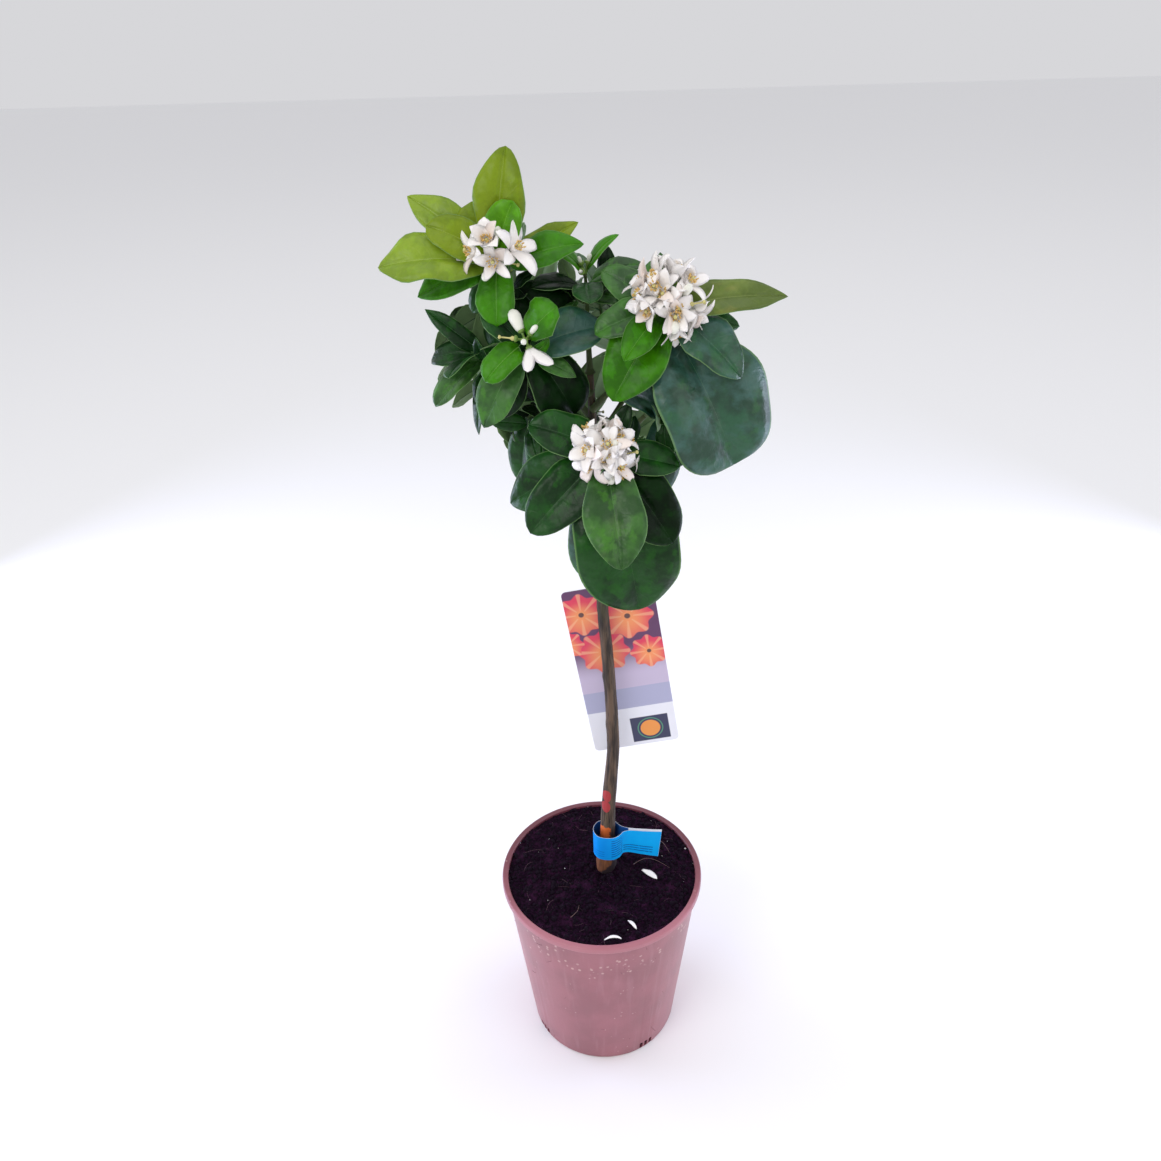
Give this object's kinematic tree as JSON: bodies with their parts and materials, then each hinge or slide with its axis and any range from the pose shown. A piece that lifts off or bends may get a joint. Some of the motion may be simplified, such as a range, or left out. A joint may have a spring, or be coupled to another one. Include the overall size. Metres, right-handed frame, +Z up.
{
  "type": "potted orange tree",
  "caption": "Young orange tree grown as a standard: bare stem, broad leafy crown with white blossom, nursery pot of soil, paper stem tag and hanging picture card.",
  "frame": {"origin": "centre of the pot's flat underside", "axes": "+Z up along the pot's axis, -Y towards the side seen from the front, +X to that viewer's right"},
  "size_m": [0.27, 0.2325, 0.8198],
  "materials": {
    "pot_plastic": "satin",
    "potting_soil": "matte",
    "bark": "matte",
    "green_bark": "matte",
    "foliage": "satin",
    "blue_tag": "satin",
    "strap_plastic": "satin",
    "printed_card": "gloss"
  },
  "bodies": {
    "root": {"pot": "pot_plastic", "soil": "potting_soil", "trunk": "bark", "bough_upper_left": "green_bark", "bough_left": "green_bark", "bough_upper_middle": "green_bark", "bough_upper_right": "green_bark", "bough_right": "green_bark", "bough_lower_front": "green_bark", "bough_lower_left": "green_bark", "bough_back_left": "green_bark", "bough_back_right": "green_bark", "bough_back_low": "green_bark", "foliage_upper_left": "foliage", "foliage_left": "foliage", "foliage_upper_middle": "foliage", "foliage_upper_right": "foliage", "foliage_right": "foliage", "foliage_lower_front": "foliage", "foliage_lower_left": "foliage", "foliage_back_left": "foliage", "foliage_back_right": "foliage", "foliage_back_low": "foliage", "stem_tag": "blue_tag", "card_strap": "strap_plastic", "label_card": "printed_card"}
  },
  "joints": []
}
